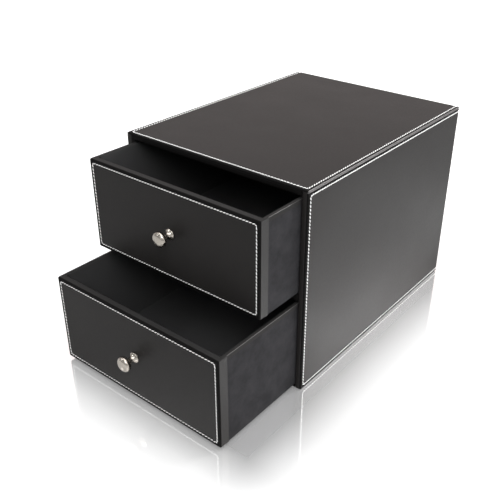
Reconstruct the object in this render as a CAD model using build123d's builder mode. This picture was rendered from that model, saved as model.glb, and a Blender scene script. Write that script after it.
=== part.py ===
import os

from build123d import *

# A desk cabinet of covered board with two pull-out drawers.
# X runs across the front, Y from the front to the back, Z up, and the origin is the middle of the base.
# All sizes are in millimetres.

# Outer size of the cabinet
cabinet_width = 245.0
cabinet_depth = 320.0
cabinet_height = 235.0

# Cabinet boards and their covering
board = 6.0
shelf_thickness = 9.0
bottom_thickness = 2.5
housing_depth = 3.0
cover = 1.6
cover_round = 1.1
edge_roll = 2.0
roll_radius = 1.7
base_felt = 0.8
base_felt_inset = 3.0
base_felt_corner = 3.0
bay_felt = 0.5
bay_felt_setback = 8.0

# Sewn border of a cover, measured to the middle of the seam
seam_inset = 4.2
seam_width = 1.0
seam_depth = 0.3

# Running clearances of a drawer in its bay
side_clearance = 0.75
head_clearance = 2.6
slide_clearance = 0.3
back_clearance = 2.4

# How far each drawer stands out of the cabinet
upper_pull = 60.0
lower_pull = 119.0

# Drawer boards and their covering
front_thickness = 6.0
front_rebate = 3.0
drawer_wall = 3.0
back_rebate = 1.5
drawer_bottom = 2.5
bottom_lift = 2.5
groove_depth = 1.2
groove_play = 0.2
skin = 0.6
skin_round = 0.45
wrap_lap = 4.5
binding_leg = 5.0
fabric = 0.4
lining = 0.4
floor_felt = 0.5

# Fixing screw of the knob
screw_diameter = 4.0
screw_bite = 7.0
screw_head_diameter = 8.0
screw_head_height = 2.4
screw_head_bevel = 1.0
slot_width = 1.0
slot_depth = 1.1
thread_gap = 0.1
hole_gap = 0.3
washer_diameter = 10.0
washer_thickness = 0.8

# Turned knob: stretches follow each other outwards from the drawer's face
knob_rise = 1.2
knob_base_radius = 6.0
knob_head_radius = 8.3
knob_neck_wall = 0.7
knob_lip = 1.0
knob_flare = 6.0
knob_flare_waist = 2.4
knob_neck = 2.2
knob_swell = 6.4
knob_swell_waist = 2.8
knob_brim = 1.2
knob_brim_taper = 0.4
knob_dome = 1.8
knob_curve_cuts = 3
knob_dome_cuts = 2

# Largest share of a sheet's thickness that a rounded edge takes
edge_share = 0.9

# Levels and lines worked out for the cabinet
half_width = cabinet_width / 2
front_y = -cabinet_depth / 2
back_y = cabinet_depth / 2
board_front = front_y + edge_roll
board_back = back_y - cover
board_outer = half_width - cover
bay_half = board_outer - board
housing_x = bay_half + housing_depth
bay_back = board_back - board
floor_z = base_felt + bottom_thickness
top_z = cabinet_height - cover
ceiling_z = top_z - board
bay_height = (ceiling_z - floor_z - shelf_thickness) / 2
shelf_z = floor_z + bay_height
upper_floor_z = shelf_z + shelf_thickness

# Levels and lines worked out for a drawer, from its lower front edge
drawer_width = 2 * (bay_half - side_clearance)
drawer_height = bay_height - bay_felt - slide_clearance - head_clearance
drawer_length = bay_back - front_y - back_clearance
drawer_half = drawer_width / 2
drawer_middle = drawer_height / 2
wall_outer = drawer_half - skin
wall_inner = wall_outer - drawer_wall
front_back = cover + front_thickness
wall_front = front_back - front_rebate
lap_back = front_back + wrap_lap
wall_back = drawer_length - skin
back_inner = wall_back - drawer_wall
back_half = wall_inner + back_rebate
rim_z = drawer_height - skin
board_height = rim_z - skin
binding_z = drawer_height - binding_leg
panel_z = skin + bottom_lift
panel_top = panel_z + drawer_bottom
panel_tongue = groove_depth - groove_play
panel_half = wall_inner + panel_tongue
lined_half = wall_inner - lining
lining_face = front_back + lining
lining_back = back_inner - lining

# Levels and radii worked out for the knob and its screw
knob_z = drawer_middle + knob_rise
hole_radius = screw_diameter / 2 + hole_gap
bore_radius = screw_diameter / 2 + thread_gap
neck_radius = bore_radius + knob_neck_wall
brim_radius = knob_head_radius - knob_brim_taper
flare_end = knob_lip + knob_flare
neck_end = flare_end + knob_neck
shoulder = neck_end + knob_swell
brim_end = shoulder + knob_brim
knob_end = brim_end + knob_dome
screw_seat = lining_face + washer_thickness
screw_end = screw_seat + screw_head_height
screw_tip = hole_gap - screw_bite
head_radius = screw_head_diameter / 2


def span(low, high):
    # The size and the middle of a stretch
    return high - low, (low + high) / 2


def soft_edge(radius, *walls):
    # A rounding that stays inside the sheets that carry it
    return min(radius, *(edge_share * wall for wall in walls))


def turned_curve(start, pull, end, cuts):
    # A curve of a turned profile from start to end, drawn towards pull, in a few straight cuts
    points = []
    for cut in range(cuts + 1):
        share = cut / cuts
        weights = ((1 - share) ** 2, 2 * share * (1 - share), share**2)
        radius = sum(weight * point[0] for weight, point in zip(weights, (start, pull, end)))
        level = sum(weight * point[1] for weight, point in zip(weights, (start, pull, end)))
        points.append((radius, -level))
    return points


def plate(x_span, y_span, z_span):
    # A flat board, sheet or cutter between six planes
    (x_size, x_middle), (y_size, y_middle), (z_size, z_middle) = x_span, y_span, z_span
    with BuildPart(Plane((x_middle, y_middle, z_middle))) as block:
        Box(x_size, y_size, z_size)
    return block.part


def horseshoe(level, half, length_span, thickness):
    # Plan of a band that runs back along one side, across the back and forward along the other
    length, middle = length_span
    with BuildSketch(Plane.XY.offset(level)) as plan:
        with Locations((0, middle)):
            Rectangle(2 * half, length)
        with Locations((0, middle - thickness)):
            Rectangle(2 * (half - thickness), length, mode=Mode.SUBTRACT)
    return plan.sketch


def sewn_border(plane, width, height, open_top=False):
    # The channel that a seam draws into a cover, which may run off the cover at its top
    inner_width = width - 2 * seam_inset - seam_width
    inner_height = height - 2 * seam_inset - seam_width
    outer_width = inner_width + 2 * seam_width
    outer_height = inner_height + 2 * seam_width
    run_out = seam_inset if open_top else 0
    with BuildSketch(plane) as channel:
        with Locations((0, run_out / 2)):
            Rectangle(outer_width, outer_height + run_out)
        with Locations((0, run_out)):
            Rectangle(inner_width, inner_height + 2 * run_out, mode=Mode.SUBTRACT)
    return channel.sketch


def rolled_edge(x_span, z_span, along):
    # Leatherette rolled over the front edge of one board
    thinnest = min(x_span[0], z_span[0])
    blank = plate(x_span, span(front_y, board_front), z_span)
    with BuildPart() as roll:
        add(blank)
        rounded = roll.edges().filter_by(along).group_by(Axis.Y)[0]
        fillet(rounded, soft_edge(roll_radius, edge_roll, thinnest / 2))
    return roll.part


os.makedirs("parts", exist_ok=True)
pieces = {}
cover_edge = soft_edge(cover_round, cover)

# Cabinet side boards, rebated for the top, bottom and back and housed for the shelf
back_seat = plate(span(bay_half, housing_x), span(bay_back, board_back), span(floor_z, ceiling_z))
with BuildPart() as right_side_board:
    with BuildSketch(Plane.XZ.offset(-board_back)):
        with BuildLine():
            Polyline(
                (bay_half, floor_z),
                (bay_half, shelf_z),
                (housing_x, shelf_z),
                (housing_x, upper_floor_z),
                (bay_half, upper_floor_z),
                (bay_half, ceiling_z),
                (housing_x, ceiling_z),
                (housing_x, top_z),
                (board_outer, top_z),
                (board_outer, base_felt),
                (housing_x, base_felt),
                (housing_x, floor_z),
                close=True,
            )
        make_face()
    extrude(amount=board_back - board_front)
    add(back_seat, mode=Mode.SUBTRACT)
pieces["right_side_board"] = right_side_board.part

with BuildPart() as left_side_board:
    mirror(right_side_board.part, about=Plane.YZ)
pieces["left_side_board"] = left_side_board.part

# Boards and sheets between the sides
full_depth = span(board_front, board_back)
inner_depth = span(board_front, bay_back)
felt_depth = span(board_front + bay_felt_setback, bay_back)
housed_width = span(-housing_x, housing_x)
bay_width = span(-bay_half, bay_half)
pieces["top_board"] = plate(housed_width, full_depth, span(ceiling_z, top_z))
pieces["bottom_board"] = plate(housed_width, full_depth, span(base_felt, floor_z))
pieces["back_board"] = plate(housed_width, span(bay_back, board_back), span(floor_z, ceiling_z))
pieces["divider_shelf"] = plate(housed_width, inner_depth, span(shelf_z, upper_floor_z))
pieces["lower_bay_felt"] = plate(bay_width, felt_depth, span(floor_z, floor_z + bay_felt))
pieces["upper_bay_felt"] = plate(bay_width, felt_depth, span(upper_floor_z, upper_floor_z + bay_felt))

# Felt under the cabinet, cut back from its edges
felt_width = cabinet_width - 2 * base_felt_inset
felt_length = cabinet_depth - 2 * base_felt_inset
with BuildPart() as base_felt_sheet:
    with BuildSketch():
        RectangleRounded(felt_width, felt_length, base_felt_corner)
    extrude(amount=base_felt)
pieces["base_felt"] = base_felt_sheet.part

# Leatherette rolled over the front edges of the boards
right_edge = rolled_edge(span(bay_half, board_outer), span(base_felt, top_z), Axis.Z)
with BuildPart() as left_edge:
    mirror(right_edge, about=Plane.YZ)
pieces["right_edge_roll"] = right_edge
pieces["left_edge_roll"] = left_edge.part
pieces["top_edge_roll"] = rolled_edge(bay_width, span(ceiling_z, top_z), Axis.X)
pieces["bottom_edge_roll"] = rolled_edge(bay_width, span(base_felt, floor_z), Axis.X)
pieces["shelf_edge_roll"] = rolled_edge(bay_width, span(shelf_z, upper_floor_z), Axis.X)

# Sewn cover of the top, with soft outer edges and a seam that runs off at the back
top_plane = Plane.XY.offset(cabinet_height)
top_seam = sewn_border(top_plane, cabinet_width, cabinet_depth, open_top=True)
with BuildPart() as top_cover:
    with BuildSketch(top_plane):
        Rectangle(cabinet_width, cabinet_depth)
    extrude(amount=-cover)
    fillet(top_cover.faces().sort_by(Axis.Z)[-1].edges(), cover_edge)
    extrude(top_seam, amount=-seam_depth, mode=Mode.SUBTRACT)
pieces["top_cover"] = top_cover.part

# Sewn covers of the sides, whose seams run off at the back too
side_height, side_middle = span(base_felt, top_z)
side_plane = Plane((half_width, 0, side_middle), x_dir=(0, 0, -1), z_dir=(1, 0, 0))
side_seam = sewn_border(side_plane, side_height, cabinet_depth, open_top=True)
with BuildPart() as right_side_cover:
    with BuildSketch(side_plane):
        Rectangle(side_height, cabinet_depth)
    extrude(amount=-cover)
    fillet(right_side_cover.faces().sort_by(Axis.X)[-1].edges(), cover_edge)
    extrude(side_seam, amount=-seam_depth, mode=Mode.SUBTRACT)
pieces["right_side_cover"] = right_side_cover.part

with BuildPart() as left_side_cover:
    mirror(right_side_cover.part, about=Plane.YZ)
pieces["left_side_cover"] = left_side_cover.part

# Plain cover of the back, between the side covers
with BuildPart() as back_cover:
    with BuildSketch(Plane.XZ.offset(-back_y)):
        with Locations((0, side_middle)):
            Rectangle(2 * board_outer, side_height)
    extrude(amount=cover)
    fillet(back_cover.faces().sort_by(Axis.Y)[-1].edges(), cover_edge)
pieces["back_cover"] = back_cover.part

for name, piece in pieces.items():
    piece.label = name
    export_step(piece, f"parts/{name}.step")

# Drawer pieces, with the face of the drawer at Y = 0 and its lower edge at Z = 0
drawer_pieces = {}
face_plane = Plane((0, 0, drawer_middle), x_dir=(1, 0, 0), z_dir=(0, -1, 0))
knob_plane = Plane((0, 0, knob_z), x_dir=(1, 0, 0), z_dir=(0, -1, 0))
inside_plane = Plane((0, lining_face, knob_z), x_dir=(1, 0, 0), z_dir=(0, 1, 0))
knob_axis = Axis((0, 0, knob_z), (0, 1, 0))
bottom_groove = span(panel_z, panel_top + groove_play)

# Sewn cover of the drawer's face
front_seam = sewn_border(face_plane, drawer_width, drawer_height)
with BuildPart() as front_cover:
    with BuildSketch(face_plane):
        Rectangle(drawer_width, drawer_height)
    extrude(amount=-cover)
    fillet(front_cover.faces().sort_by(Axis.Y)[0].edges(), cover_edge)
    extrude(front_seam, amount=-seam_depth, mode=Mode.SUBTRACT)
    with Locations(knob_plane):
        Hole(hole_radius)
drawer_pieces["front_cover"] = front_cover.part

# Front board, rebated at both ends for the side walls and grooved for the bottom
front_groove = plate(
    span(-wall_inner, wall_inner), span(front_back - groove_depth, front_back), bottom_groove
)
with BuildPart() as front_board:
    with BuildSketch(Plane.XY.offset(skin)):
        with BuildLine():
            Polyline(
                (0, cover),
                (wall_outer, cover),
                (wall_outer, wall_front),
                (wall_inner, wall_front),
                (wall_inner, front_back),
                (0, front_back),
            )
            mirror(about=Plane.YZ)
        make_face()
    extrude(amount=board_height)
    add(front_groove, mode=Mode.SUBTRACT)
    with Locations(knob_plane):
        Hole(hole_radius)
drawer_pieces["front_board"] = front_board.part

# Leatherette band round the edges of the front board, lapped back over the rims and the side walls
turn_in = plate(
    span(-wall_inner, wall_inner), span(front_back, front_back + skin), span(binding_z, drawer_height)
)
binding_middle = (binding_z + drawer_height) / 2
with BuildPart() as front_wrap:
    with BuildSketch(Plane.XZ.offset(-cover)):
        with Locations((0, drawer_middle)):
            Rectangle(drawer_width, drawer_height)
            Rectangle(2 * wall_outer, board_height, mode=Mode.SUBTRACT)
    extrude(amount=-front_thickness)
    with BuildSketch(Plane.XZ.offset(-front_back)):
        with Locations((0, drawer_middle)):
            Rectangle(drawer_width, drawer_height)
        with Locations((0, rim_z / 2)):
            Rectangle(2 * wall_outer, rim_z, mode=Mode.SUBTRACT)
        with Locations((0, binding_middle)):
            Rectangle(2 * wall_inner, binding_leg)
            Rectangle(2 * (wall_inner - skin), binding_leg, mode=Mode.SUBTRACT)
    extrude(amount=-wrap_lap)
    add(turn_in)
    wrap_corners = front_wrap.edges().filter_by(Axis.Y).sort_by_distance((0, 0, drawer_middle))[-4:]
    fillet(wrap_corners, soft_edge(skin_round, skin))
drawer_pieces["front_wrap"] = front_wrap.part

# Side walls, grooved for the bottom and rebated for the back wall
wall_groove = plate(
    span(wall_inner, wall_inner + groove_depth), span(wall_front, wall_back), bottom_groove
)
with BuildPart() as right_wall:
    with BuildSketch(Plane.XY.offset(skin)):
        with BuildLine():
            Polyline(
                (wall_inner, wall_front),
                (wall_outer, wall_front),
                (wall_outer, wall_back),
                (back_half, wall_back),
                (back_half, back_inner),
                (wall_inner, back_inner),
                close=True,
            )
        make_face()
    extrude(amount=board_height)
    add(wall_groove, mode=Mode.SUBTRACT)
drawer_pieces["right_wall"] = right_wall.part

with BuildPart() as left_wall:
    mirror(right_wall.part, about=Plane.YZ)
drawer_pieces["left_wall"] = left_wall.part

# Back wall between the side walls, grooved for the bottom
back_blank = plate(span(-back_half, back_half), span(back_inner, wall_back), span(skin, rim_z))
back_groove = plate(
    span(-back_half, back_half), span(back_inner, back_inner + groove_depth), bottom_groove
)
with BuildPart() as back_wall:
    add(back_blank)
    add(back_groove, mode=Mode.SUBTRACT)
drawer_pieces["back_wall"] = back_wall.part

# Bottom panel, held in the grooves on all four sides
drawer_pieces["bottom_panel"] = plate(
    span(-panel_half, panel_half),
    span(front_back - panel_tongue, back_inner + panel_tongue),
    span(panel_z, panel_top),
)

# Fabric round the outside of the walls, turned under their lower edges
fabric_z = skin - fabric
outside = span(lap_back, wall_back + fabric)
upright = horseshoe(fabric_z, wall_outer + fabric, outside, fabric)
turned_under = horseshoe(fabric_z, wall_outer + fabric, outside, fabric + drawer_wall)
with BuildPart() as side_fabric:
    extrude(upright, amount=binding_z - fabric_z)
    extrude(turned_under, amount=fabric)
drawer_pieces["side_fabric"] = side_fabric.part

# Leatherette binding folded over the top edges of the walls
folded = horseshoe(binding_z, drawer_half, span(lap_back, drawer_length), drawer_wall + 2 * skin)
bound = horseshoe(binding_z, wall_outer, span(lap_back, wall_back), drawer_wall)
with BuildPart() as rim_binding:
    extrude(folded, amount=binding_leg)
    extrude(bound, amount=rim_z - binding_z, mode=Mode.SUBTRACT)
    fillet(rim_binding.faces().sort_by(Axis.Z)[-1].edges().filter_by(Axis.Y), soft_edge(skin_round, skin))
drawer_pieces["rim_binding"] = rim_binding.part

# Lining of the drawer's walls and floor
lined_length, lined_middle = span(front_back, back_inner)
with BuildPart() as wall_lining:
    with BuildSketch(Plane.XY.offset(panel_top)):
        with Locations((0, lined_middle)):
            Rectangle(2 * wall_inner, lined_length)
            Rectangle(2 * lined_half, lined_length - 2 * lining, mode=Mode.SUBTRACT)
    extrude(amount=binding_z - panel_top)
    with Locations(inside_plane):
        Hole(hole_radius, depth=lining)
drawer_pieces["wall_lining"] = wall_lining.part
drawer_pieces["floor_lining"] = plate(
    span(-lined_half, lined_half), span(lining_face, lining_back), span(panel_top, panel_top + floor_felt)
)

# Turned knob: flared foot, thin neck, and a head that swells to a brim under a shallow dome
flare_pull = (neck_radius, knob_lip + knob_flare_waist)
swell_pull = (knob_head_radius, neck_end + knob_swell_waist)
dome_pull = (brim_radius / 2, knob_end)
foot_edge = (knob_base_radius, knob_lip)
brim_edge = (brim_radius, brim_end)
flare = turned_curve(foot_edge, flare_pull, (neck_radius, flare_end), knob_curve_cuts)
swell = turned_curve((neck_radius, neck_end), swell_pull, (knob_head_radius, shoulder), knob_curve_cuts)
dome = turned_curve(brim_edge, dome_pull, (0, knob_end), knob_dome_cuts)
with BuildPart() as knob:
    with BuildSketch(Plane.XY.offset(knob_z)):
        with BuildLine():
            Polyline(
                (bore_radius, 0),
                (knob_base_radius, 0),
                *flare,
                *swell,
                *dome,
                (0, -screw_bite),
                (bore_radius, -screw_bite),
                close=True,
            )
        make_face()
    revolve(axis=knob_axis)
drawer_pieces["knob"] = knob.part

# Slotted screw that draws the knob against the drawer's face from inside
screw_radius = screw_diameter / 2
slot_height = span(knob_z - slot_width / 2, knob_z + slot_width / 2)
slot = plate(span(-head_radius, head_radius), span(screw_end - slot_depth, screw_end), slot_height)
with BuildPart() as knob_screw:
    with BuildSketch(Plane.XY.offset(knob_z)):
        with BuildLine():
            Polyline(
                (0, screw_tip),
                (screw_radius, screw_tip),
                (screw_radius, screw_seat),
                (head_radius, screw_seat),
                (head_radius, screw_end - screw_head_bevel),
                (head_radius - screw_head_bevel, screw_end),
                (0, screw_end),
                close=True,
            )
        make_face()
    revolve(axis=knob_axis)
    add(slot, mode=Mode.SUBTRACT)
drawer_pieces["knob_screw"] = knob_screw.part

with BuildPart() as knob_washer:
    with BuildSketch(inside_plane):
        Circle(washer_diameter / 2)
        Circle(hole_radius, mode=Mode.SUBTRACT)
    extrude(amount=washer_thickness)
drawer_pieces["knob_washer"] = knob_washer.part

# Both drawers are alike, and each stands at its own pull
drawer_seat = bay_felt + slide_clearance
drawer_places = {
    "upper_drawer": (0, front_y - upper_pull, upper_floor_z + drawer_seat),
    "lower_drawer": (0, front_y - lower_pull, floor_z + drawer_seat),
}
for drawer, place in drawer_places.items():
    for name, piece in drawer_pieces.items():
        placed = piece.moved(Location(place))
        placed.label = f"{drawer}_{name}"
        export_step(placed, f"parts/{drawer}_{name}.step")
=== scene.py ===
import math

import bmesh
import bpy
from mathutils import Matrix, Vector


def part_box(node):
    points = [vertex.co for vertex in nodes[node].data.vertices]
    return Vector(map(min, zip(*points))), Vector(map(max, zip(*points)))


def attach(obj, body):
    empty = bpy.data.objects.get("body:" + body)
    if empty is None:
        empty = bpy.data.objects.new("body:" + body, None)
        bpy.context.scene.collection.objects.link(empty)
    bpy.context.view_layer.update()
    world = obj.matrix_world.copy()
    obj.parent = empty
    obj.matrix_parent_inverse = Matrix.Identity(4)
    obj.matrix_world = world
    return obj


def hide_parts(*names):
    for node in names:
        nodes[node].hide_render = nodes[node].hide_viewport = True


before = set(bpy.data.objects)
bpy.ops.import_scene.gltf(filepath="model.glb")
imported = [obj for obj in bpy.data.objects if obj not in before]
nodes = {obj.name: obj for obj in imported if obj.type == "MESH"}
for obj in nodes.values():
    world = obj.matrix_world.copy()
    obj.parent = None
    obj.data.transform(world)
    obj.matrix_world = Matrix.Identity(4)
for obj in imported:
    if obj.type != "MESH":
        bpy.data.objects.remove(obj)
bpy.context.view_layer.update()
mm = 0.001
hair = 0.01 * mm        # slack on either side of a level
print("frame loaded,", len(nodes), "CAD nodes")


# Working tools

def clearSelection():
    if bpy.context.mode != "OBJECT":
        bpy.ops.object.mode_set(mode="OBJECT")
    bpy.ops.object.select_all(action="DESELECT")


def activate(piece):
    clearSelection()
    piece.select_set(True)
    bpy.context.view_layer.objects.active = piece


def applyPlace(piece, place=None):
    # moves the place into the mesh, so that the object stays at the origin
    if place is not None:
        piece.matrix_world = place
    activate(piece)
    bpy.ops.object.transform_apply(location=True, rotation=True, scale=True)


def addBlock(name, low, high):
    low, high = Vector(low), Vector(high)
    clearSelection()
    bpy.ops.mesh.primitive_cube_add(size=1, location=(low + high) / 2)
    piece = bpy.context.object
    piece.name = piece.data.name = name
    piece.scale = high - low
    applyPlace(piece)
    return piece


def copyPiece(piece, name):
    twin = piece.copy()
    twin.data = piece.data.copy()
    twin.name = twin.data.name = name
    bpy.context.scene.collection.objects.link(twin)
    return twin


def joinPieces(name, parts):
    activate(parts[0])
    for part in parts:
        part.select_set(True)
    bpy.ops.object.join()
    parts[0].name = parts[0].data.name = name
    return parts[0]


def editPiece(piece):
    activate(piece)
    bpy.ops.object.mode_set(mode="EDIT")


def pick(piece, kind, test):
    # selects the verts, edges or faces that the test accepts
    bpy.ops.mesh.select_mode(type=kind)
    bpy.ops.mesh.select_all(action="DESELECT")
    shape = bmesh.from_edit_mesh(piece.data)
    shape.normal_update()
    for part in {"VERT": shape.verts, "EDGE": shape.edges, "FACE": shape.faces}[kind]:
        if test(part):
            part.select_set(True)
    shape.select_flush_mode()
    bmesh.update_edit_mesh(piece.data)


def bevelPicked(radius, cuts):
    bpy.ops.mesh.bevel(offset=radius, segments=cuts, affect="EDGES")


def cutOpen(piece, test):
    # takes away the faces of a block that the sheet doesn't cover
    pick(piece, "FACE", test)
    bpy.ops.mesh.delete(type="FACE")


def paint(piece, *finishes):
    # lays the first material on the whole piece and each other one on the faces that its test accepts
    for material, test in ((finishes[0], None), *finishes[1:]):
        piece.data.materials.append(material)
        if test:
            pick(piece, "FACE", test)
            piece.active_material_index = len(piece.data.materials) - 1
            bpy.ops.object.material_slot_assign()


def middle(part):
    # middle of an edge or a face
    return sum((corner.co for corner in part.verts), Vector()) / len(part.verts)


def along(edge, axis):
    way = edge.verts[1].co - edge.verts[0].co
    return abs(way[axis]) > 0.99 * way.length


def near(value, target, slack=0.02 * mm):
    return abs(value - target) < slack


def cutAcross(axis, *levels):
    normal = [0, 0, 0]
    normal[axis] = 1
    for level in levels:
        bpy.ops.mesh.select_all(action="SELECT")
        bpy.ops.mesh.bisect(plane_co=[part * level for part in normal], plane_no=normal)


def applyModifier(piece, kind, **settings):
    activate(piece)
    modifier = piece.modifiers.new(kind.lower(), kind)
    for key, value in settings.items():
        setattr(modifier, key, value)
    bpy.ops.object.modifier_apply(modifier=modifier.name)


def smooth(piece, angle=40):
    activate(piece)
    bpy.ops.object.shade_smooth_by_angle(angle=math.radians(angle))


def evenShading(piece):
    # large faces keep their own direction, so that only the rounded edges shade
    smooth(piece)
    applyModifier(piece, "WEIGHTED_NORMAL", mode="FACE_AREA", weight=60, keep_sharp=True)


def hand(piece, body, material, replaced=()):
    # gives a finished piece its material, if it has none yet, and its body, and hides the nodes that it
    # stands for
    if not piece.data.materials:
        piece.data.materials.append(material)
    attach(piece, body)
    if replaced:
        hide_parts(*replaced)


# Shader maths

class Wire:
    # a socket that can be written into sums
    def __init__(self, tree, socket):
        self.tree = tree
        self.socket = socket

    def node(self, kind, settings, sockets, out=0):
        made = self.tree.nodes.new(kind)
        for key, value in settings.items():
            if key == "stops":
                self.setStops(made.color_ramp, value)
            else:
                setattr(made, key, value)
        for key, value in sockets.items():
            if isinstance(value, Wire):
                self.tree.links.new(value.socket, made.inputs[key])
            else:
                made.inputs[key].default_value = value
        return Wire(self.tree, made.outputs[out])

    def setStops(self, ramp, stops):
        while len(ramp.elements) < len(stops):
            ramp.elements.new(1)
        for element, (place, grey) in zip(ramp.elements, stops):
            element.position = place
            element.color = (grey, grey, grey, 1)

    def maths(self, operation, first, second):
        return self.node("ShaderNodeMath", {"operation": operation}, {0: first, 1: second})

    def __add__(self, other):
        return self.maths("ADD", self, other)

    def __radd__(self, other):
        return self.maths("ADD", other, self)

    def __sub__(self, other):
        return self.maths("SUBTRACT", self, other)

    def __rsub__(self, other):
        return self.maths("SUBTRACT", other, self)

    def __mul__(self, other):
        return self.maths("MULTIPLY", self, other)

    def __rmul__(self, other):
        return self.maths("MULTIPLY", other, self)

    def vector(self, operation, second=(0, 0, 0), out=0):
        return self.node("ShaderNodeVectorMath", {"operation": operation}, {0: self, 1: second}, out)

    def noise(self, scale, detail=2, roughness=0.5):
        sockets = {"Vector": self, "Scale": scale, "Detail": detail, "Roughness": roughness}
        return self.node("ShaderNodeTexNoise", {}, sockets, "Fac")

    def tangle(self, scale, distortion):
        sockets = {"Vector": self, "Scale": scale, "Detail": 4, "Distortion": distortion}
        return self.node("ShaderNodeTexNoise", {}, sockets, "Fac")

    def ramp(self, *stops):
        return self.node("ShaderNodeValToRGB", {"stops": stops}, {"Fac": self})

    def tint(self, dark, light):
        # a colour between two, by this value
        dark, light = (end if isinstance(end, Wire) else (*end, 1) for end in (dark, light))
        return self.node("ShaderNodeMix", {"data_type": "RGBA"}, {0: self, 6: dark, 7: light}, 2)

    def relief(self, height, strength):
        # this value as a relief of that height
        sockets = {"Height": self, "Strength": strength, "Distance": height}
        return self.node("ShaderNodeBump", {}, sockets, "Normal")


def newMaterial(name, source="Object", **plain):
    # an empty surface with its plain values set, and the wire of its coordinates
    material = bpy.data.materials.new(name)
    material.use_nodes = True
    tree = material.node_tree
    shader = tree.nodes["Principled BSDF"]
    for key, value in plain.items():
        shader.inputs[key.replace("_", " ")].default_value = value
    coords = tree.nodes.new("ShaderNodeTexCoord")
    return material, shader, Wire(tree, coords.outputs[source])


def feed(shader, **wires):
    for key, wire in wires.items():
        wire.tree.links.new(wire.socket, shader.inputs[key.replace("_", " ")])


def layFinish(shader, look, shade, dullness, bumps):
    # shade runs from the look's dark colour to its light one, dullness is added to its roughness
    feed(
        shader, Base_Color=shade.tint(look["dark"], look["light"]), Roughness=look["roughness"] + dullness,
        Normal=bumps.relief(look["height"], look["relief"]),
    )


# Leatherette: fine pebble grain and faint mottling
leatherLook = {
    "dark": (0.0130, 0.0122, 0.0119),
    "light": (0.0230, 0.0214, 0.0208),
    "specular": 0.09,
    "roughness": 0.45,
    "pebble": 1250,         # scales of patterns are to the metre
    "pebbleBlend": 0.6,
    "creases": 260,
    "clouds": 22,
    "height": 0.07 * mm,
    "relief": 0.4,
}
# the same, darker and duller outside a seam and on the level edge rolls as painted shade, lighter and
# glossier along an edge as a painted highlight, as the matte tape on the drawers' rims and as the band
# round their fronts
paintedShadeLook = {
    **leatherLook, "dark": (0.0050, 0.0048, 0.0047), "light": (0.0095, 0.0091, 0.0090), "specular": 0.02,
}
# the lighter colour here is a painted highlight
paintedHighlightLook = {
    **leatherLook, "dark": (0.040, 0.0385, 0.038), "light": (0.068, 0.0655, 0.0645), "specular": 0.65,
    "roughness": 0.36,
}
tapeLook = {
    **leatherLook, "dark": (0.018, 0.0175, 0.0174), "light": (0.033, 0.0322, 0.0320), "specular": 0.045,
    "roughness": 0.6,
}
bandLook = {**leatherLook, "dark": (0.024, 0.0234, 0.0233), "light": (0.036, 0.0352, 0.0350)}


def leatherette(name, look):
    material, shader, place = newMaterial(name, Specular_IOR_Level=look["specular"])
    creases = place.noise(look["creases"], 3)
    pebbles = place.node(
        "ShaderNodeTexVoronoi", {"feature": "SMOOTH_F1"},
        {"Vector": place, "Scale": look["pebble"], "Smoothness": look["pebbleBlend"]}, "Distance",
    )
    grain = (1 - pebbles) * 0.75 + creases * 0.5
    clouds = place.noise(look["clouds"], 3)
    layFinish(shader, look, clouds * 0.6 + grain * 0.3, clouds * 0.12 - grain * 0.1, grain)
    return material


# Sewing thread: bonded white, two strands laid round each other
threadLook = {
    "dark": (0.86, 0.858, 0.845),
    "light": (0.97, 0.968, 0.96),
    "specular": 0.35,
    "roughness": 0.5,
    "lay": 2.2,             # on the stitch's own UV map, as the fuzz is
    "fuzz": 40,
    "height": 0.05 * mm,
    "relief": 0.6,
}


def sewingThread():
    look = threadLook
    material, shader, place = newMaterial("sewingThread", "UV", Specular_IOR_Level=look["specular"])
    lay = place.node(
        "ShaderNodeTexWave", {"bands_direction": "DIAGONAL"},
        {"Vector": place, "Scale": look["lay"], "Distortion": 0.4, "Detail": 1}, "Fac",
    )
    fuzz = place.noise(look["fuzz"])
    layFinish(shader, look, lay * 0.7 + fuzz * 0.3, fuzz * 0.3, lay)
    return material


# Flock fabric on the drawers' sides: short pile, brushed one way and the other
flockLook = {
    "dark": (0.0144, 0.0142, 0.0157),
    "light": (0.0355, 0.0349, 0.0382),
    "specular": 0.06,
    "sheen": (0.02, 0.6),       # weight and roughness
    "roughness": 0.82,
    "pile": 2600,
    "strokes": 55,
    "strokeEdges": ((0.34, 0), (0.68, 1)),
    "height": 0.12 * mm,
    "relief": 0.5,
}


def flockFabric():
    look = flockLook
    weight, spread = look["sheen"]
    material, shader, place = newMaterial(
        "flockFabric", Specular_IOR_Level=look["specular"], Sheen_Weight=weight, Sheen_Roughness=spread
    )
    pile = place.noise(look["pile"], 3, 0.7)
    brushed = place.noise(look["strokes"], 4, 0.65).ramp(*look["strokeEdges"])
    layFinish(shader, look, pile * 0.4 + brushed * 0.6, pile * 0.18, pile + brushed * 0.3)
    return material


# Flocked paper inside the drawers: finer and nearly black
liningLook = {
    "dark": (0.0265, 0.0265, 0.0271),
    "light": (0.053, 0.0526, 0.0538),
    "specular": 0.12,
    "sheen": (0.12, 0.5),       # weight and roughness
    "roughness": 0.85,
    "pile": 3400,
    "patches": 24,
    "height": 0.06 * mm,
    "relief": 0.45,
}


def flockedPaper():
    look = liningLook
    weight, spread = look["sheen"]
    material, shader, place = newMaterial(
        "flockedPaper", Specular_IOR_Level=look["specular"], Sheen_Weight=weight, Sheen_Roughness=spread
    )
    pile = place.noise(look["pile"], 2, 0.7)
    patches = place.noise(look["patches"], 3)
    layFinish(shader, look, pile * 0.5 + patches * 0.5, pile * 0.15, pile)
    return material


# Pressed felt: tangled fibres of mixed greys
feltLook = {
    "dark": (0.016, 0.016, 0.018),
    "light": (0.060, 0.060, 0.064),
    "specular": 0.1,
    "sheen": 0.2,
    "roughness": 0.88,
    "tangle": (900, 2.5),       # scale and distortion
    "clumps": 120,
    "height": 0.15 * mm,
    "relief": 0.6,
}


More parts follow.
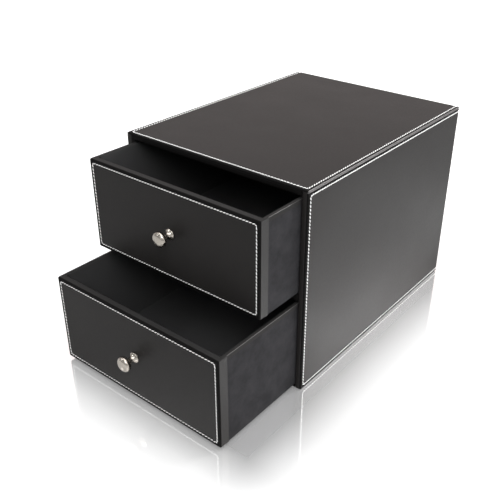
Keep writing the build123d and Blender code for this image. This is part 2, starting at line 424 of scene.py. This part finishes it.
def pressedFelt():
    look = feltLook
    material, shader, place = newMaterial(
        "pressedFelt", Specular_IOR_Level=look["specular"], Sheen_Weight=look["sheen"]
    )
    tangle = place.tangle(*look["tangle"])
    clumps = place.noise(look["clumps"])
    layFinish(shader, look, tangle * 0.7 + clumps * 0.3, tangle * 0.12, tangle)
    return material


# Fibreboard faced with black paper
boardLook = {
    "dark": (0.022, 0.0215, 0.0215),
    "light": (0.042, 0.041, 0.041),
    "specular": 0.3,
    "roughness": 0.55,
    "fibres": (500, 1.2),       # scale and distortion
    "stains": 16,
    "height": 0.03 * mm,
    "relief": 0.4,
}


def facedBoard():
    look = boardLook
    material, shader, place = newMaterial("facedBoard", Specular_IOR_Level=look["specular"])
    fibres = place.tangle(*look["fibres"])
    stains = place.noise(look["stains"], 3)
    layFinish(shader, look, fibres * 0.6 + stains * 0.4, fibres * 0.2, fibres)
    return material


# Satin nickel: turned rings round the knob's axis under a thin haze
nickelLook = {
    "dark": (0.325, 0.298, 0.263),
    "light": (0.468, 0.436, 0.39),
    "roughness": 0.16,
    "rings": 2.2 / mm,
    "haze": 180,
    "height": 0.01 * mm,
    "relief": 0.15,
}


def satinNickel(name, centre):
    look = nickelLook
    material, shader, place = newMaterial(name, Metallic=1.0)
    centred = place.node(
        "ShaderNodeMapping", {"vector_type": "POINT"}, {"Vector": place, "Location": -centre}
    )
    rings = centred.node(
        "ShaderNodeTexWave", {"wave_type": "RINGS", "rings_direction": "Y"},
        {"Vector": centred, "Scale": look["rings"], "Distortion": 1.5, "Detail": 2}, "Fac",
    )
    haze = place.noise(look["haze"], 3)
    layFinish(shader, look, haze * 0.7 + rings * 0.3, haze * 0.1 + rings * 0.06, rings)
    return material


# Zinc plate on the screws and washers
zincLook = {
    "dark": (0.48, 0.49, 0.51),
    "light": (0.68, 0.69, 0.70),
    "roughness": 0.28,
    "spangle": 900,
    "film": 300,
    "height": 0.01 * mm,
    "relief": 0.2,
}


def zincPlate():
    look = zincLook
    material, shader, place = newMaterial("zincPlate", Metallic=1.0)
    spangle = place.node(
        "ShaderNodeTexVoronoi", {}, {"Vector": place, "Scale": look["spangle"]}, "Distance"
    )
    film = place.noise(look["film"], 3)
    layFinish(shader, look, spangle * 0.4 + film * 0.6, film * 0.2, spangle)
    return material


leather = leatherette("leatherette", leatherLook)
paintedShade = leatherette("pressedLeatherette", paintedShadeLook)
paintedHighlight = leatherette("rubbedLeatherette", paintedHighlightLook)
tape = leatherette("tapeLeatherette", tapeLook)
band = leatherette("bandLeatherette", bandLook)
thread = sewingThread()
flock = flockFabric()
lining = flockedPaper()
felt = pressedFelt()
boardFace = facedBoard()
zinc = zincPlate()
print("materials ready,", len(bpy.data.materials))


# One stitch: a plump grain of thread along Y whose ends dive into the leatherette

stitchShape = {
    "length": 3.4 * mm,
    "thread": 1.28 * mm,
    "flatness": 0.7,                # height of the grain for its width
    "plump": (1.16, 1.04, 1.16),    # how the part between tip and middle is filled out
    "plumpPart": (0.3, 0.95),       # where that part lies, from the middle to the tip
    "dive": 0.32 * mm,
    "divePart": 0.7,                # what lies past this goes down
    "slim": (0.84, 0.97, 0.84),     # how the stitches of the drawer fronts differ from the cabinet's
    "slant": 18,                    # degrees off the line of the seam
    "sides": 8,
    "rings": 6,
}


def makeStitch():
    form = stitchShape
    clearSelection()
    bpy.ops.mesh.primitive_uv_sphere_add(segments=form["sides"], ring_count=form["rings"], radius=0.5)
    piece = bpy.context.object
    piece.rotation_euler = (math.radians(90), 0, 0)
    applyPlace(piece)
    piece.scale = (form["thread"], form["length"], form["flatness"] * form["thread"])
    applyPlace(piece)
    editPiece(piece)
    end = form["length"] / 2
    inner, outer = form["plumpPart"]
    pick(piece, "VERT", lambda v: inner * end < abs(v.co.y) < outer * end)
    bpy.ops.transform.resize(value=form["plump"], center_override=(0, 0, 0))
    pick(piece, "VERT", lambda v: abs(v.co.y) > form["divePart"] * end)
    bpy.ops.transform.translate(value=(0, 0, -form["dive"]))
    bpy.ops.object.mode_set(mode="OBJECT")
    piece.rotation_euler = (0, 0, math.radians(form["slant"]))
    applyPlace(piece)
    bpy.ops.object.shade_smooth()
    return piece


oneStitch = makeStitch()
print("stitch modelled,", len(oneStitch.data.polygons), "faces")


# Sewn covers: a slab lying flat at the origin, drawn in along its seam and then put in place

seamForm = {
    "inset": 4.2 * mm,      # edge of the cover to the middle of the seam
    "valley": 3.2 * mm,     # width that the seam draws in
    "depth": 0.85 * mm,
    # line along the valley, counted outwards: (drop at a hole, drop under a stitch), in depths
    "drops": {0: (1.1, 0.85), 1: (0.85, 0.62), -1: (0.6, 0.36)},
    "pitch": 3.8 * mm,
    "cornerReach": 1.15,    # length of a corner stitch for its share of the pitch
    "edge": 1.45 * mm,      # rounding of the cover's edges
    "edgeCuts": 5,
    "edgeHighlighted": 0.7,      # part of that rounding that carries the painted highlight
}


def seamRuns(width, length, openBack):
    # the straight runs of the seam as (start, end), in order round the cover
    side, low = width / 2 - seamForm["inset"], length / 2 - seamForm["inset"]
    turn = seamForm["valley"] / 2
    high = length / 2 - seamForm["edge"] if openBack else low - turn
    runs = [
        (Vector((-side, high, 0)), Vector((-side, turn - low, 0))),
        (Vector((turn - side, -low, 0)), Vector((side - turn, -low, 0))),
        (Vector((side, turn - low, 0)), Vector((side, high, 0))),
    ]
    if not openBack:
        runs.append((Vector((side - turn, low, 0)), Vector((turn - side, low, 0))))
    return runs


def stitchCount(run):
    return round((run[1] - run[0]).length / seamForm["pitch"])


def sewnSlab(name, width, length, thickness, openBack):
    form = seamForm
    valley = form["valley"]
    step = valley / 4
    side, low = width / 2 - form["inset"], length / 2 - form["inset"]
    lines = [step * count for count in (-2, -1, 0, 1, 2)]
    piece = addBlock(name, (-width / 2, -length / 2, -thickness), (width / 2, length / 2, 0))
    editPiece(piece)
    pick(piece, "EDGE", lambda e: max(v.co.z for v in e.verts) > -0.5 * thickness)
    bevelPicked(form["edge"], form["edgeCuts"])
    cutAcross(0, *(side + line for line in lines), *(-side - line for line in lines))
    cutAcross(1, *(-low - line for line in lines))
    if not openBack:
        cutAcross(1, *(low + line for line in lines))

    def offset(point):
        # distance outwards from the line of the seam
        ends = -point.y - low if openBack else abs(point.y) - low
        return max(abs(point.x) - side, ends)

    def onLine(point, count):
        return point.z > -0.9 * form["edge"] and near(offset(point), step * count)

    # each run is cut at the holes and under the middles of the stitches
    runs = seamRuns(width, length, openBack)
    for start, end in runs:
        axis = 0 if near(start.y, end.y) else 1
        fixed = 1 - axis
        pick(piece, "EDGE", lambda e: (
            along(e, axis) and (e.verts[0].co - e.verts[1].co).length > 4 * valley
            and near(middle(e)[fixed], start[fixed], 0.51 * valley) and middle(e).z > -hair
        ))
        bpy.ops.mesh.subdivide(number_cuts=2 * stitchCount((start, end)) - 1)

    def atHole(point):
        # whether a point of the seam lies where a stitch goes through, not under its middle
        for start, end in runs:
            way = end - start
            share = (point - start).dot(way) / way.length_squared
            if -0.001 < share < 1.001 and (point - start - share * way).length < 0.6 * valley:
                return round(share * 2 * stitchCount((start, end))) % 2 == 0
        return True

    for count, (deep, shallow) in form["drops"].items():
        for hole, drop in ((True, deep), (False, shallow)):
            pick(piece, "VERT", lambda v: (
                onLine(v.co, count) and atHole(Vector((v.co.x, v.co.y, 0))) == hole
            ))
            bpy.ops.transform.translate(value=(0, 0, -drop * form["depth"]))

    # the margin outside the seam is painted darker, as shade; the long rounded edges of the open covers are
    # painted lighter, as a highlight
    rounded = form["inset"] - form["edgeHighlighted"] * form["edge"]
    finishes = [leather, (paintedShade, lambda f: offset(middle(f)) > 0.3 * step)]
    if openBack:
        finishes.append((paintedHighlight, lambda f: abs(middle(f).x) - side > rounded))
    paint(piece, *finishes)
    bpy.ops.object.mode_set(mode="OBJECT")
    return piece


def turnAlong(way):
    return Matrix.Rotation(math.atan2(-way.x, way.y), 4, "Z")


def sewSeam(name, width, length, openBack):
    # the row of stitches that goes with a slab of that size
    form = seamForm
    slim = Matrix.Diagonal((*((1, 1, 1) if openBack else stitchShape["slim"]), 1))
    rows = []
    runs = seamRuns(width, length, openBack)
    for start, end in runs:
        count = stitchCount((start, end))
        pitch = (end - start).length / count
        row = copyPiece(oneStitch, name)
        applyPlace(row, slim)
        applyModifier(
            row, "ARRAY", count=count, use_relative_offset=False, use_constant_offset=True,
            constant_offset_displace=(0, pitch, 0),
        )
        halfStep = Matrix.Translation((0, pitch / 2, 0))
        applyPlace(row, Matrix.Translation(start) @ turnAlong(end - start) @ halfStep)
        rows.append(row)
    corners = list(zip(runs, runs[1:] + ([] if openBack else runs[:1])))
    for (_, end), (start, _) in corners:
        way = start - end
        corner = copyPiece(oneStitch, name)
        shrunk = Matrix.Diagonal((1, way.length / form["pitch"] * form["cornerReach"], 1, 1))
        applyPlace(corner, Matrix.Translation((start + end) / 2) @ turnAlong(way) @ shrunk @ slim)
        rows.append(corner)
    return joinPieces(name, rows)


def facing(centre, across, up):
    # stands a flat piece up: its X along across, its Y along up, its face outwards
    across, up = Vector(across), Vector(up)
    turned = Matrix((across, up, across.cross(up))).transposed().to_4x4()
    return Matrix.Translation(centre) @ turned


def finishCover(name, width, length, thickness, openBack, place):
    cover = sewnSlab(name + "Cover", width, length, thickness, openBack)
    seam = sewSeam(name + "Stitches", width, length, openBack)
    for piece in (cover, seam):
        applyPlace(piece, place)
    evenShading(cover)
    return cover, seam


def coverCabinet():
    low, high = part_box("top_cover")
    size = high - low
    place = facing((0, 0, high.z), (1, 0, 0), (0, 1, 0))
    cover, seam = finishCover("top", size.x, size.y, size.z, True, place)
    hand(cover, "cabinet", leather, ["top_cover"])
    hand(seam, "cabinet", thread)
    for side, sign in (("right", 1), ("left", -1)):
        node = side + "_side_cover"
        low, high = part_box(node)
        size = high - low
        outside = high.x if sign > 0 else low.x
        place = facing((outside, 0, (low.z + high.z) / 2), (0, 0, -sign), (0, 1, 0))
        cover, seam = finishCover(side + "Side", size.z, size.y, size.x, True, place)
        hand(cover, "cabinet", leather, [node])
        hand(seam, "cabinet", thread)


coverCabinet()
print("cabinet covers sewn")


# Plain back cover and the leatherette rolled over the boards' front edges

rollForm = {
    "edge": 1.7 * mm,
    "edgeMost": 0.45,       # most of a roll's width that its rounding takes
    "cuts": 5,
    "end": 0.8 * mm,        # rounding at the foot of the upright rolls
    "endCuts": 3,
    "backEdge": 1.2 * mm,
}


def coverBack():
    low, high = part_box("back_cover")
    piece = addBlock("backCover", low, high)
    editPiece(piece)
    pick(piece, "EDGE", lambda e: max(v.co.y for v in e.verts) > high.y - hair)
    bevelPicked(rollForm["backEdge"], rollForm["cuts"])
    evenShading(piece)
    hand(piece, "cabinet", leather, ["back_cover"])


def rollEdge(name, node):
    form = rollForm
    low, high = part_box(node)
    size = high - low
    upright = size.z > size.x
    piece = addBlock(name, low, high)
    editPiece(piece)
    pick(piece, "EDGE", lambda e: along(e, 2 if upright else 0) and near(middle(e).y, low.y))
    bevelPicked(min(form["edge"], form["edgeMost"] * min(size.x, size.z)), form["cuts"])
    if upright:
        pick(piece, "EDGE", lambda e: (
            near(max(v.co.z for v in e.verts), low.z) and middle(e).y < high.y - hair
        ))
        bevelPicked(form["end"], form["endCuts"])
    evenShading(piece)
    # the level rolls take the darker leatherette: painted shade
    hand(piece, "cabinet", leather if upright else paintedShade, [node])


coverBack()
for edge in ("right", "left", "top", "bottom", "shelf"):
    rollEdge(edge + "EdgeRoll", edge + "_edge_roll")
print("back covered and front edges rolled")


# Drawer skins: sheets folded round the boards, modelled on the upper drawer

skinForm = {
    "fold": 0.9 * mm,
    "foldCuts": 3,
    "foldAngle": 1.0,       # radians, past which an edge of the sheet is a fold
    "fabricFold": 0.7 * mm,
    "upward": 0.3,          # upright part of the normal of a face that belongs to the top of a fold
    "level": 0.95,          # the same for the flat of that top
    "inward": 0.2,          # part towards the drawer's inside on the front's fold with the painted highlight
    "tuck": 0.1 * mm,
}
screwHole = {"radius": 2.3 * mm, "depth": 60 * mm, "sides": 32}


def roundFolds(piece, radius):
    pick(piece, "EDGE", lambda e: e.is_manifold and e.calc_face_angle() > skinForm["foldAngle"])
    bevelPicked(radius, skinForm["foldCuts"])


def onTop(face):
    return face.normal.z > skinForm["upward"]


def onBend(face):
    return skinForm["upward"] < face.normal.z < skinForm["level"]


def dropEdges(piece, inner, line, level, depth, behind):
    # folds the sheet down round the drawer's inside, which begins at inner and at line
    def onRim(point):
        inside = point.y > line - hair if behind else point.y < line + hair
        return near(point.z, level) and inside and abs(point.x) < inner + hair

    pick(piece, "EDGE", lambda e: (
        all(onRim(v.co) for v in e.verts) and e.is_boundary
        and (all(near(abs(v.co.x), inner) for v in e.verts) or all(near(v.co.y, line) for v in e.verts))
    ))
    bpy.ops.mesh.extrude_edges_move(TRANSFORM_OT_translate={"value": (0, 0, -depth)})


def thicken(piece, sheet):
    bpy.ops.object.mode_set(mode="OBJECT")
    applyModifier(piece, "SOLIDIFY", thickness=sheet, offset=-1, use_even_offset=True)
    evenShading(piece)
    return piece


def wrapFront(drawer):
    low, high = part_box(drawer + "_front_wrap")
    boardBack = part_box(drawer + "_front_board")[1].y
    wallLow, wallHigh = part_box(drawer + "_right_wall")
    sheet = high.x - wallHigh.x
    inner, line = wallLow.x - sheet, boardBack + sheet
    piece = addBlock("frontWrap", low, high)
    editPiece(piece)
    cutAcross(0, inner, -inner)
    cutAcross(1, boardBack, line)

    def opened(face):
        spot = middle(face)
        if near(spot.y, low.y) or near(spot.y, high.y):
            return True
        if near(spot.z, low.z):
            return spot.y > boardBack
        return near(spot.z, high.z) and spot.y > line and abs(spot.x) < inner

    cutOpen(piece, opened)
    dropEdges(piece, inner, line, high.z, high.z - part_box(drawer + "_rim_binding")[0].z, True)
    roundFolds(piece, skinForm["fold"])
    # the fold towards the drawer's inside gets the lighter leatherette: a painted highlight
    paint(
        piece, band, (tape, onTop),
        (paintedHighlight, lambda f: onBend(f) and f.normal.y > skinForm["inward"]),
    )
    return thicken(piece, sheet)


def bindRim(drawer):
    low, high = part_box(drawer + "_rim_binding")
    wallLow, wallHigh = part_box(drawer + "_right_wall")
    sheet = high.x - wallHigh.x
    inner, line = wallLow.x - sheet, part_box(drawer + "_back_wall")[0].y - sheet
    piece = addBlock("rimBinding", low, high)
    editPiece(piece)
    cutAcross(0, inner, -inner)
    cutAcross(1, line)

    def opened(face):
        spot = middle(face)
        over = near(spot.z, high.z) and spot.y < line and abs(spot.x) < inner
        return over or near(spot.z, low.z) or near(spot.y, low.y)

    cutOpen(piece, opened)
    dropEdges(piece, inner, line, high.z, high.z - low.z, False)
    roundFolds(piece, skinForm["fold"])
    outer, tuck = wallHigh.x - sheet, skinForm["tuck"]

    def inside(face):
        # the leg that hangs down inside the drawer, which has the look of the lining
        spot = middle(face)
        return face.normal.z < skinForm["upward"] and abs(spot.x) < inner + tuck and spot.y < line + tuck

    # the rim's outer fold gets the lighter leatherette: a painted highlight
    paint(piece, tape, (paintedHighlight, lambda f: onBend(f) and abs(middle(f).x) > outer), (lining, inside))
    return thicken(piece, sheet)


def hangFabric(drawer):
    low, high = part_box(drawer + "_side_fabric")
    wallLow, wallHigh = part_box(drawer + "_right_wall")
    inner, line = wallLow.x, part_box(drawer + "_back_wall")[0].y
    piece = addBlock("sideFabric", low, high)
    editPiece(piece)
    cutAcross(0, inner, -inner)
    cutAcross(1, line)

    def opened(face):
        spot = middle(face)
        under = near(spot.z, low.z) and spot.y < line and abs(spot.x) < inner
        return under or near(spot.z, high.z) or near(spot.y, low.y)

    cutOpen(piece, opened)
    roundFolds(piece, skinForm["fabricFold"])
    return thicken(piece, high.x - wallHigh.x)


def cutScrewHole(piece, drawer):
    low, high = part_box(drawer + "_knob")
    centre = (low + high) / 2
    clearSelection()
    bpy.ops.mesh.primitive_cylinder_add(
        vertices=screwHole["sides"], radius=screwHole["radius"], depth=screwHole["depth"],
        location=centre, rotation=(math.radians(90), 0, 0),
    )
    drill = bpy.context.object
    applyModifier(piece, "BOOLEAN", object=drill, operation="DIFFERENCE", solver="EXACT")
    bpy.data.objects.remove(drill)
    evenShading(piece)


def lineWalls(drawer):
    low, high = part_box(drawer + "_wall_lining")
    sheet = high.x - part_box(drawer + "_floor_lining")[1].x
    piece = addBlock("wallLining", low, high)
    editPiece(piece)
    cutOpen(piece, lambda f: abs(f.normal.z) > 0.9)
    roundFolds(piece, skinForm["fabricFold"])
    thicken(piece, sheet)
    cutScrewHole(piece, drawer)
    return piece


# Flat sheets of felt and lining with rounded corners and soft edges

sheetForm = {
    # kind: (corner, edge)
    "baseFelt": (3.0 * mm, 0.25 * mm),
    "bayFelt": (0.6 * mm, 0.25 * mm),
    "floorLining": (0.6 * mm, 0.2 * mm),
    "cornerCuts": 4,
    "edgeCuts": 2,
}


def laySheet(name, node, kind):
    corner, edge = sheetForm[kind]
    low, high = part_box(node)
    piece = addBlock(name, low, high)
    editPiece(piece)
    pick(piece, "EDGE", lambda e: along(e, 2))
    bevelPicked(corner, sheetForm["cornerCuts"])
    pick(piece, "EDGE", lambda e: near(middle(e).z, high.z))
    bevelPicked(edge, sheetForm["edgeCuts"])
    evenShading(piece)
    return piece


# Turned knob: levels run outwards from the drawer's face

knobForm = {
    "foot": 6.0 * mm,
    "footEdge": 0.35 * mm,
    "footCuts": 3,
    "lip": 1.0 * mm,
    "lipSlope": 0.6,            # how far the lip's edge runs into the flare, in edges
    "waist": 2.8 * mm,
    "flarePull": 3.4 * mm,
    "flareEnd": 7.0 * mm,
    "neckPull": 8.7 * mm,
    "neckEnd": 9.2 * mm,
    "neckSpread": 0.25 * mm,
    "neckCuts": 4,
    "swellPull": 10.6 * mm,
    "swellEnd": 14.0 * mm,      # widest level, where the round of the head begins
    "fullness": 2.45,           # 2 would be an ellipse
    "headStep": 6,              # degrees from point to point up the round of the head
    "groove": (40, 0.982),      # angle up that round, and how far in it goes
    "grooveHalf": 3.5,
    "grooveClear": 4.5,         # degrees round the groove without other points
    "bore": 2.1 * mm,
    "boreDepth": 7.0 * mm,
    "curveCuts": 10,
    "turns": 72,
    "weld": 0.002 * mm,
    "smoothAngle": 35,
}


def bowed(start, pull, end, cuts):
    points = []
    for cut in range(1, cuts + 1):
        share = cut / cuts
        weights = ((1 - share) ** 2, 2 * share * (1 - share), share ** 2)
        bend = list(zip(weights, (start, pull, end)))
        points.append(tuple(sum(weight * point[part] for weight, point in bend) for part in (0, 1)))
    return points


def knobOutline(head, reach):
    # radius and level of each point, from the end of the bore round to the tip of the dome
    form = knobForm
    bore, boreDepth = form["bore"], form["boreDepth"]
    foot, edge, lip, waist = form["foot"], form["footEdge"], form["lip"], form["waist"]
    slope = form["lipSlope"] * edge
    widest = form["swellEnd"]
    points = [(0, boreDepth), (bore, boreDepth), (bore, 0), (foot - edge, 0)]
    points += bowed(points[-1], (foot, 0), (foot, edge), form["footCuts"])
    points += [(foot, lip - edge)]
    # each curve runs on from the last point: (pull, end, cuts)
    curves = (
        ((foot, lip), (foot - slope, lip + slope), form["footCuts"]),
        ((waist, form["flarePull"]), (waist, form["flareEnd"]), form["curveCuts"]),
        ((waist, form["neckPull"]), (waist + form["neckSpread"], form["neckEnd"]), form["neckCuts"]),
        ((head, form["swellPull"]), (head, widest), form["curveCuts"]),
    )
    for pull, end, cuts in curves:
        points += bowed(points[-1], pull, end, cuts)
    groove, narrowed = form["groove"]
    step, half = form["headStep"], form["grooveHalf"]
    turns = [turn for turn in range(step, 90, step) if abs(turn - groove) > form["grooveClear"]]
    for turn in sorted(turns + [groove - half, groove, groove + half]):
        size = narrowed if turn == groove else 1
        ways = math.cos(math.radians(turn)), math.sin(math.radians(turn))
        out, up = (size * way ** (2 / form["fullness"]) for way in ways)
        points.append((head * out, widest + (reach - widest) * up))
    points.append((0, reach))
    return points


def turnKnob(drawer):
    low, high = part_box(drawer + "_knob")
    axis = ((low.x + high.x) / 2, (low.z + high.z) / 2)
    outline = [
        Vector((axis[0] + radius, high.y - level, axis[1]))
        for radius, level in knobOutline((high.x - low.x) / 2, high.y - low.y)
    ]
    # a small plane merged to one point, which is then drawn out along the outline
    clearSelection()
    bpy.ops.mesh.primitive_plane_add(size=1 * mm, location=outline[0])
    piece = bpy.context.object
    piece.name = piece.data.name = "turnedKnob"
    applyPlace(piece)
    editPiece(piece)
    bpy.ops.mesh.select_mode(type="VERT")
    bpy.ops.mesh.select_all(action="SELECT")
    bpy.ops.mesh.merge(type="CENTER")
    for here, there in zip(outline, outline[1:]):
        bpy.ops.mesh.extrude_region_move(TRANSFORM_OT_translate={"value": there - here})
    bpy.ops.mesh.select_all(action="SELECT")
    bpy.ops.mesh.spin(
        steps=knobForm["turns"], angle=math.tau, center=(axis[0], high.y, axis[1]), axis=(0, 1, 0)
    )
    bpy.ops.mesh.select_all(action="SELECT")
    bpy.ops.mesh.remove_doubles(threshold=knobForm["weld"])
    bpy.ops.mesh.normals_make_consistent(inside=False)
    smooth(piece, knobForm["smoothAngle"])
    return piece


def sewFront(drawer):
    low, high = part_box(drawer + "_front_cover")
    size = high - low
    place = facing((0, low.y, (low.z + high.z) / 2), (1, 0, 0), (0, 0, 1))
    cover, seam = finishCover("front", size.x, size.z, size.y, False, place)
    cutScrewHole(cover, drawer)
    return cover, seam


def dressDrawers():
    first, second = "upper_drawer", "lower_drawer"
    cover, seam = sewFront(first)
    knob = turnKnob(first)
    # piece: (material, slot, replaced node)
    modelled = {
        cover: (leather, "leatherette", "front_cover"),
        seam: (thread, None, None),
        wrapFront(first): (band, "leatherette", "front_wrap"),
        bindRim(first): (tape, "leatherette", "rim_binding"),
        hangFabric(first): (flock, "flock", "side_fabric"),
        lineWalls(first): (lining, "lining", "wall_lining"),
        laySheet("floorLining", first + "_floor_lining", "floorLining"): (lining, "lining", "floor_lining"),
        knob: (None, "knob_metal", "knob"),
    }
    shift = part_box(second + "_front_cover")[0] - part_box(first + "_front_cover")[0]
    for piece, (material, slot, node) in modelled.items():
        plainName = piece.name
        twin = copyPiece(piece, second + "_" + plainName)
        piece.name = piece.data.name = first + "_" + plainName
        applyPlace(twin, Matrix.Translation(shift))
        for drawer, made in ((first, piece), (second, twin)):
            finish = material
            if finish is None:
                # the rings of the nickel lie round each knob's own axis
                low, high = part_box(drawer + "_knob")
                finish = satinNickel(drawer + "SatinNickel", (low + high) / 2)
            hand(made, drawer, finish, [drawer + "_" + node] if node else ())


dressDrawers()
bpy.data.objects.remove(oneStitch)
print("drawers dressed")


# Felts under the cabinet and in the bays

for name, kind in (("base_felt", "baseFelt"), ("upper_bay_felt", "bayFelt"), ("lower_bay_felt", "bayFelt")):
    sheet = laySheet(name + "Sheet", name, kind)
    hand(sheet, "cabinet", felt, [name])


# Boards, screws and washers stay as they were built, with their own finish

keptFinishes = {("board", "shelf", "wall", "panel"): boardFace, ("screw", "washer"): zinc}
for name, node in nodes.items():
    for endings, finish in keptFinishes.items():
        if name.endswith(endings):
            for holder in node.material_slots:
                holder.material = finish
print("felts laid, boards and fixings finished")


# Camera, from corners of the cabinet in the photograph

cameraView = {
    "place": (451.99 * mm, -642.96 * mm, 504.97 * mm),
    "azimuth": 37.88,
    "elevation": 28.66,
    "roll": 0.67,
    "focal": 703.65,        # in pixels of the 500 pixel frame
    "centre": (268.18, 238.15),
    "frame": 500,
    "sensor": 36,
    "farthest": 50,
}


def setCamera():
    view = cameraView
    turn, rise, roll = (math.radians(view[key]) for key in ("azimuth", "elevation", "roll"))
    back = Vector((math.sin(turn) * math.cos(rise), -math.cos(turn) * math.cos(rise), math.sin(rise)))
    right = Vector((math.cos(turn), math.sin(turn), 0))
    up = back.cross(right)
    across = right * math.cos(roll) + up * math.sin(roll)
    upright = up * math.cos(roll) - right * math.sin(roll)
    turned = Matrix((across, upright, back)).transposed().to_4x4()
    lens = bpy.data.cameras.new("camera")
    lens.sensor_width = view["sensor"]
    lens.lens = view["focal"] / view["frame"] * lens.sensor_width
    lens.shift_x = 0.5 - view["centre"][0] / view["frame"]
    lens.shift_y = view["centre"][1] / view["frame"] - 0.5
    lens.clip_end = view["farthest"]
    camera = bpy.data.objects.new("camera", lens)
    bpy.context.scene.collection.objects.link(camera)
    camera.matrix_world = Matrix.Translation(view["place"]) @ turned
    bpy.context.scene.camera = camera


setCamera()
print("camera placed")


# Floor, backdrop and lamps

floorForm = {
    "radius": 9.0,
    "sides": 128,
    "colour": (0.74, 0.74, 0.74, 1),
    "roughness": 0.6,
    "specular": 0.2,
    "footprint": ((0.008, -0.055, 0.0), (0.130, 0.213, 1.0)),   # middle and half size of what stands there
    "lift": ((0, 0.47), (1, 1.0)),      # light of its own that the eye sees, by distance from the footprint
    "liftReach": 2.2,
    "gleam": 0.35,                      # share of that light which reflections see
    "mirror": ((0, 0.7), (0.3, 0.36), (0.65, 0.12), (1, 0)),    # share of reflection, by distance
    "mirrorReach": 0.137,
    "mirrorRoughness": 0.07,
}
backdrop = {
    "seen": (1, 1, 1),
    "ambient": (0.3, 0.3, 0.3),
    # what reflections see, from before the object to behind it
    "room": ((0.3, 0), (0.62, 1)),
    "roomDim": (0.5, 0.5, 0.5),
    "roomBright": (1.06, 0.96, 0.94),
}
lamps = {
    # name: (place, aim, width, height, watts)
    "overhead": ((0.1, 0.15, 1.6), (0.0, 0.0, 0.1), 1.5, 1.5, 18),
    "rightBank": ((1.5, 0.25, 0.55), (0.1, 0.0, 0.1), 1.4, 0.9, 5.5),
    "frontBox": ((0.75, -0.95, 1.25), (0.0, -0.2, 0.1), 0.85, 0.85, 13.5),
    "rimBox": ((0.86, 1.15, 1.0), (0.05, -0.1, 0.15), 0.4, 0.4, 9),
    "leftBox": ((-0.95, -1.1, 1.3), (0.0, -0.2, 0.15), 0.4, 0.4, 4),
    "floorCard": ((0.345, 0.09, 0.004), (0.345, 0.09, 1.0), 0.4, 0.65, 0.9),
}


def seeingRays(tree, *kinds):
    # 1 on rays of those kinds and 0 on all others
    rays = tree.nodes.new("ShaderNodeLightPath").outputs
    return sum(Wire(tree, rays[f"Is {kind} Ray"]) for kind in kinds)


def layFloor():
    form = floorForm
    clearSelection()
    bpy.ops.mesh.primitive_circle_add(vertices=form["sides"], radius=form["radius"], fill_type="NGON")
    floor = bpy.context.object
    floor.name = "floor"
    material, shader, place = newMaterial(
        "floorPaper", Base_Color=form["colour"], Roughness=form["roughness"],
        Specular_IOR_Level=form["specular"], Emission_Strength=1,
    )
    tree = material.node_tree
    centre, half = form["footprint"]
    outside = place.vector("SUBTRACT", centre).vector("ABSOLUTE").vector("SUBTRACT", half)
    away = outside.vector("MAXIMUM").vector("LENGTH", out="Value")
    lift = (away * (1 / form["liftReach"])).ramp(*form["lift"])
    seen = seeingRays(tree, "Camera", "Transmission") + seeingRays(tree, "Glossy") * form["gleam"]
    feed(shader, Emission_Color=lift * seen)
    mirror = place.node(
        "ShaderNodeBsdfGlossy", {}, {"Color": (1, 1, 1, 1), "Roughness": form["mirrorRoughness"]}
    )
    share = (away * (1 / form["mirrorReach"])).ramp(*form["mirror"])
    paper = Wire(tree, shader.outputs[0])
    mixed = place.node("ShaderNodeMixShader", {}, {0: share, 1: paper, 2: mirror})
    tree.links.new(mixed.socket, tree.nodes["Material Output"].inputs["Surface"])
    floor.data.materials.append(material)


def hangBackdrop():
    world = bpy.data.worlds.new("backdrop")
    bpy.context.scene.world = world
    world.use_nodes = True
    tree = world.node_tree
    coords = Wire(tree, tree.nodes.new("ShaderNodeTexCoord").outputs["Generated"])
    behind = coords.node("ShaderNodeSeparateXYZ", {}, {"Vector": coords}, "Y") * 0.5 + 0.5
    room = behind.ramp(*backdrop["room"]).tint(backdrop["roomDim"], backdrop["roomBright"])
    shown = seeingRays(tree, "Glossy").tint(backdrop["ambient"], room)
    colour = seeingRays(tree, "Camera", "Transmission").tint(shown, backdrop["seen"])
    tree.links.new(colour.socket, tree.nodes["Background"].inputs["Color"])


def hangLamps():
    for name, (place, aim, width, height, watts) in lamps.items():
        lamp = bpy.data.lights.new(name, "AREA")
        lamp.shape = "RECTANGLE"
        lamp.size, lamp.size_y = width, height
        lamp.energy = watts
        holder = bpy.data.objects.new(name, lamp)
        bpy.context.scene.collection.objects.link(holder)
        holder.visible_camera = False
        holder.location = place
        holder.rotation_euler = (Vector(aim) - Vector(place)).to_track_quat("-Z", "Y").to_euler()


layFloor()
hangBackdrop()
hangLamps()
bpy.context.scene.view_settings.view_transform = "Standard"
print("studio set")
